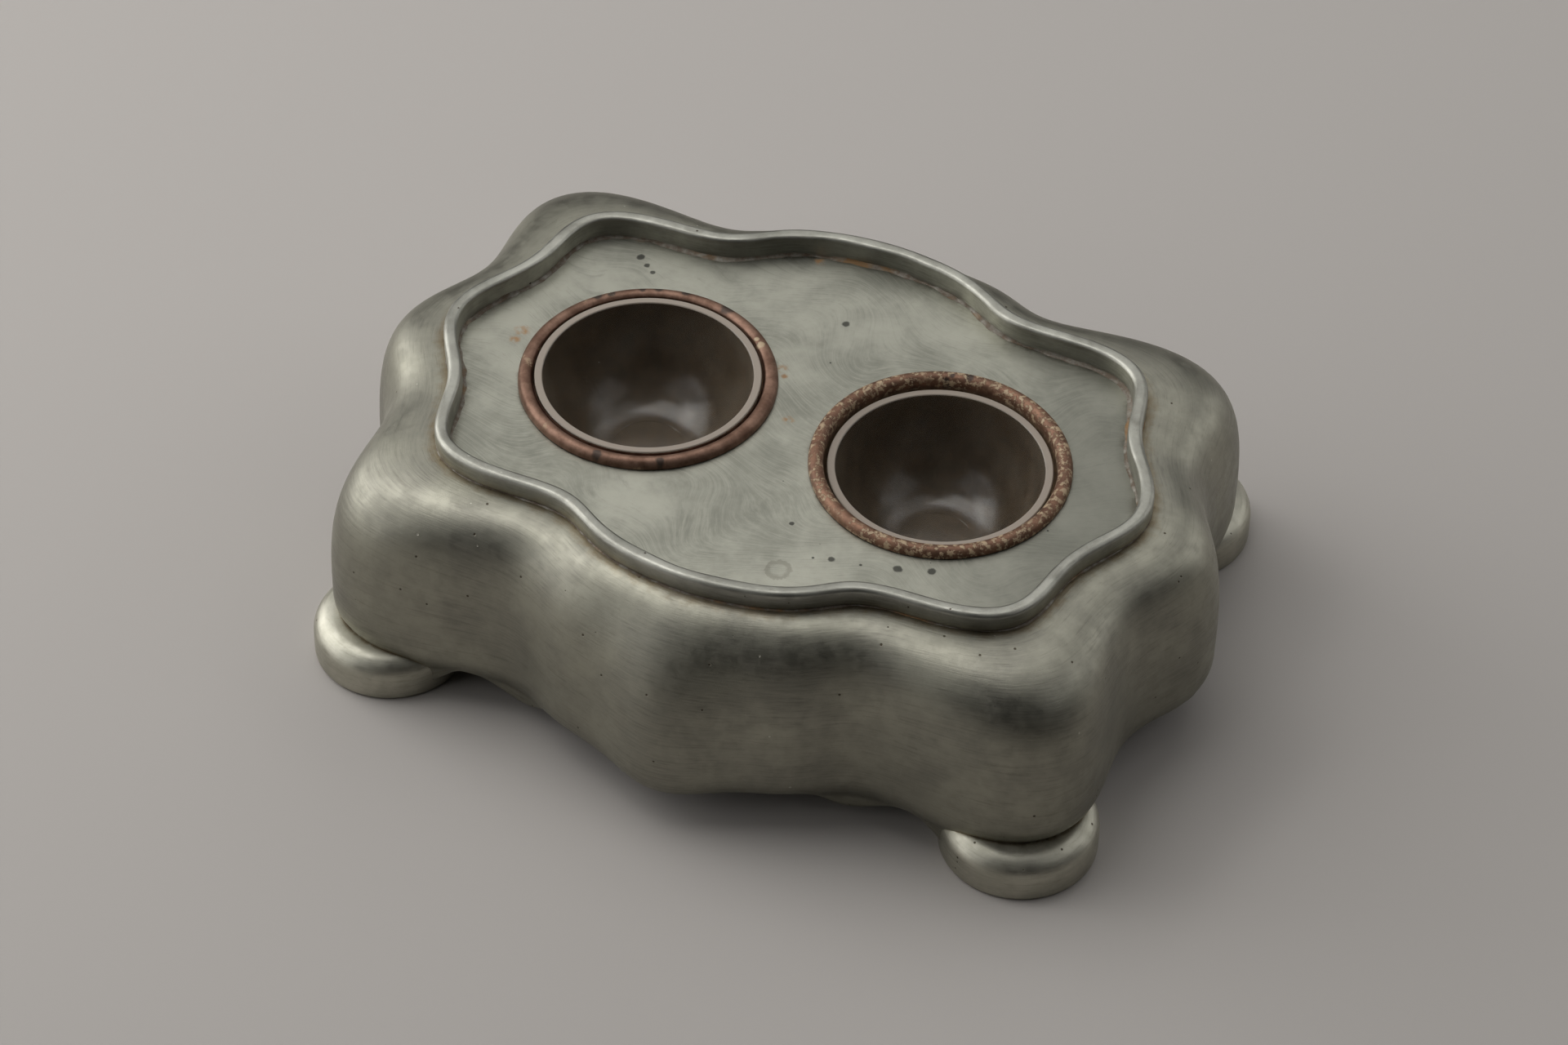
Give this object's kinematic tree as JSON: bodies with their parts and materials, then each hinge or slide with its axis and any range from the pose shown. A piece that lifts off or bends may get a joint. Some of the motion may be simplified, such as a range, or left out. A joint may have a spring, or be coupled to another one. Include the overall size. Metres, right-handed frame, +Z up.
{
  "type": "desk inkstand",
  "caption": "Low lobed metal inkstand on toe-shaped feet, with a rimmed deck that holds lift-out copper cups lined with glass ink bowls.",
  "frame": {"origin": "on the table, below the middle of the inkstand", "axes": "+X to the right along the length, +Y to the back, +Z up"},
  "size_m": [0.2074, 0.1626, 0.0588],
  "materials": {
    "pewter": "satin cast pewter, warm grey, worn smooth, with fine scratches and small pits",
    "pewter_rim": "satin pewter, rubbed brighter along its top edge",
    "pewter_deck": "dull pewter with fine swirling brush marks and ink spots",
    "pewter_foot": "satin cast pewter with tiny pits, rubbed bright on top",
    "copper_left": "dull reddish-brown copper with dark spots",
    "copper_right": "dull brown copper, mottled with cream-coloured specks",
    "glass": "clear, slightly dusty glass with a ground rim"
  },
  "bodies": {
    "stand": {"body_shell": "pewter", "rim_collar": "pewter_rim", "deck_plate": "pewter_deck", "front_left_foot": "pewter_foot", "front_right_foot": "pewter_foot", "back_left_foot": "pewter_foot", "back_right_foot": "pewter_foot"},
    "left_cup": {"left_cup": "copper_left"},
    "right_cup": {"right_cup": "copper_right"},
    "left_glass": {"left_glass": "glass"},
    "right_glass": {"right_glass": "glass"}
  },
  "joints": [
    {"name": "left_cup_lift", "type": "slide", "parent": "stand", "child": "left_cup", "axis": [0, 0, 1], "range_m": [0, 0.045]},
    {"name": "right_cup_lift", "type": "slide", "parent": "stand", "child": "right_cup", "axis": [0, 0, 1], "range_m": [0, 0.045]},
    {"name": "left_glass_lift", "type": "slide", "parent": "left_cup", "child": "left_glass", "axis": [0, 0, 1], "range_m": [0, 0.035]},
    {"name": "right_glass_lift", "type": "slide", "parent": "right_cup", "child": "right_glass", "axis": [0, 0, 1], "range_m": [0, 0.035]}
  ]
}
